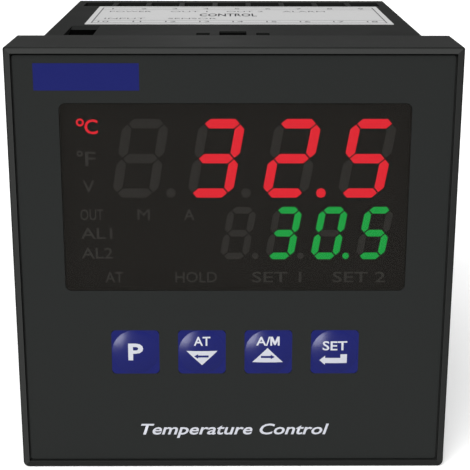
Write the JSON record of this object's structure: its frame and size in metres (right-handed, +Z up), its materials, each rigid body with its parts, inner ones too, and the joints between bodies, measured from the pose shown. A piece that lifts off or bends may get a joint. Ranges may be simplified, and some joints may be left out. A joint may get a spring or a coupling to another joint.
{
  "type": "panel-mounted temperature controller",
  "caption": "Square panel-mounted process temperature controller with digital read-outs behind a smoked window, domed keys, a plastic body with clamp slots, and screw terminals at the rear.",
  "frame": {"origin": "centre of the gasket's back face, which seats on the front of the panel", "axes": "+X to the right of the front face, +Y from the front into the panel, +Z up"},
  "size_m": [0.072, 0.0875, 0.072],
  "materials": {
    "bezel_plastic": "fine spark texture",
    "overlay_film": "matte printed film",
    "smoked_filter": "smoked, semi-matte",
    "display_glass": "dark display glass",
    "tinned_metal": "tinned",
    "light_guide": "milky acrylic",
    "segment_red": "lit red",
    "segment_green": "lit green",
    "segment_unlit": "unlit segment",
    "circuit_board": "green solder mask",
    "plated_steel": "zinc plated",
    "switch_case": "moulded",
    "gasket_rubber": "matte rubber",
    "body_plastic": "fine spark texture",
    "connector_plastic": "moulded",
    "chip_epoxy": "moulded epoxy",
    "optocoupler_epoxy": "moulded epoxy",
    "relay_case": "moulded",
    "ferrite": "sintered ferrite",
    "winding_tape": "polyester tape",
    "capacitor_sleeve": "shrunk sleeve",
    "terminal_plastic": "moulded",
    "contact_brass": "tinned brass",
    "label_stock": "white printed label",
    "key_film": "blue printed, domed",
    "plunger_plastic": "moulded"
  },
  "bodies": {
    "root": {"front_bezel": "bezel_plastic", "front_overlay": "overlay_film", "display_window": "smoked_filter", "display_glass": "display_glass", "display_pins": "tinned_metal", "light_guide": "light_guide", "upper_digits_lit": "segment_red", "upper_digits_unlit": "segment_unlit", "lower_digits_lit": "segment_green", "lower_digits_unlit": "segment_unlit", "display_board": "circuit_board", "board_screws": "plated_steel", "key_switches": "switch_case", "panel_gasket": "gasket_rubber", "body_sleeve": "body_plastic", "control_board": "circuit_board", "power_board": "circuit_board", "terminal_board": "circuit_board", "front_connectors": "connector_plastic", "rear_connectors": "connector_plastic", "microcontroller": "chip_epoxy", "optocouplers": "optocoupler_epoxy", "output_relays": "relay_case", "transformer_core": "ferrite", "transformer_winding": "winding_tape", "supply_capacitor": "capacitor_sleeve", "terminal_block": "terminal_plastic", "terminal_screws_upper": "plated_steel", "terminal_screws_lower": "plated_steel", "clamp_plates_upper": "plated_steel", "clamp_plates_lower": "plated_steel", "contacts_upper": "contact_brass", "contacts_lower": "contact_brass", "wiring_label": "label_stock"},
    "program_key": {"key_program": "key_film", "plunger_program": "plunger_plastic"},
    "down_key": {"key_down": "key_film", "plunger_down": "plunger_plastic"},
    "up_key": {"key_up": "key_film", "plunger_up": "plunger_plastic"},
    "set_key": {"key_set": "key_film", "plunger_set": "plunger_plastic"}
  },
  "joints": [
    {"name": "program_key_press", "type": "slide", "parent": "root", "child": "program_key", "axis": [0, 1, 0], "range_m": [0, 0.0003], "stiffness_N_per_m": 2000, "springref_m": -0.0004},
    {"name": "down_key_press", "type": "slide", "parent": "root", "child": "down_key", "axis": [0, 1, 0], "range_m": [0, 0.0003], "stiffness_N_per_m": 2000, "springref_m": -0.0004},
    {"name": "up_key_press", "type": "slide", "parent": "root", "child": "up_key", "axis": [0, 1, 0], "range_m": [0, 0.0003], "stiffness_N_per_m": 2000, "springref_m": -0.0004},
    {"name": "set_key_press", "type": "slide", "parent": "root", "child": "set_key", "axis": [0, 1, 0], "range_m": [0, 0.0003], "stiffness_N_per_m": 2000, "springref_m": -0.0004}
  ]
}
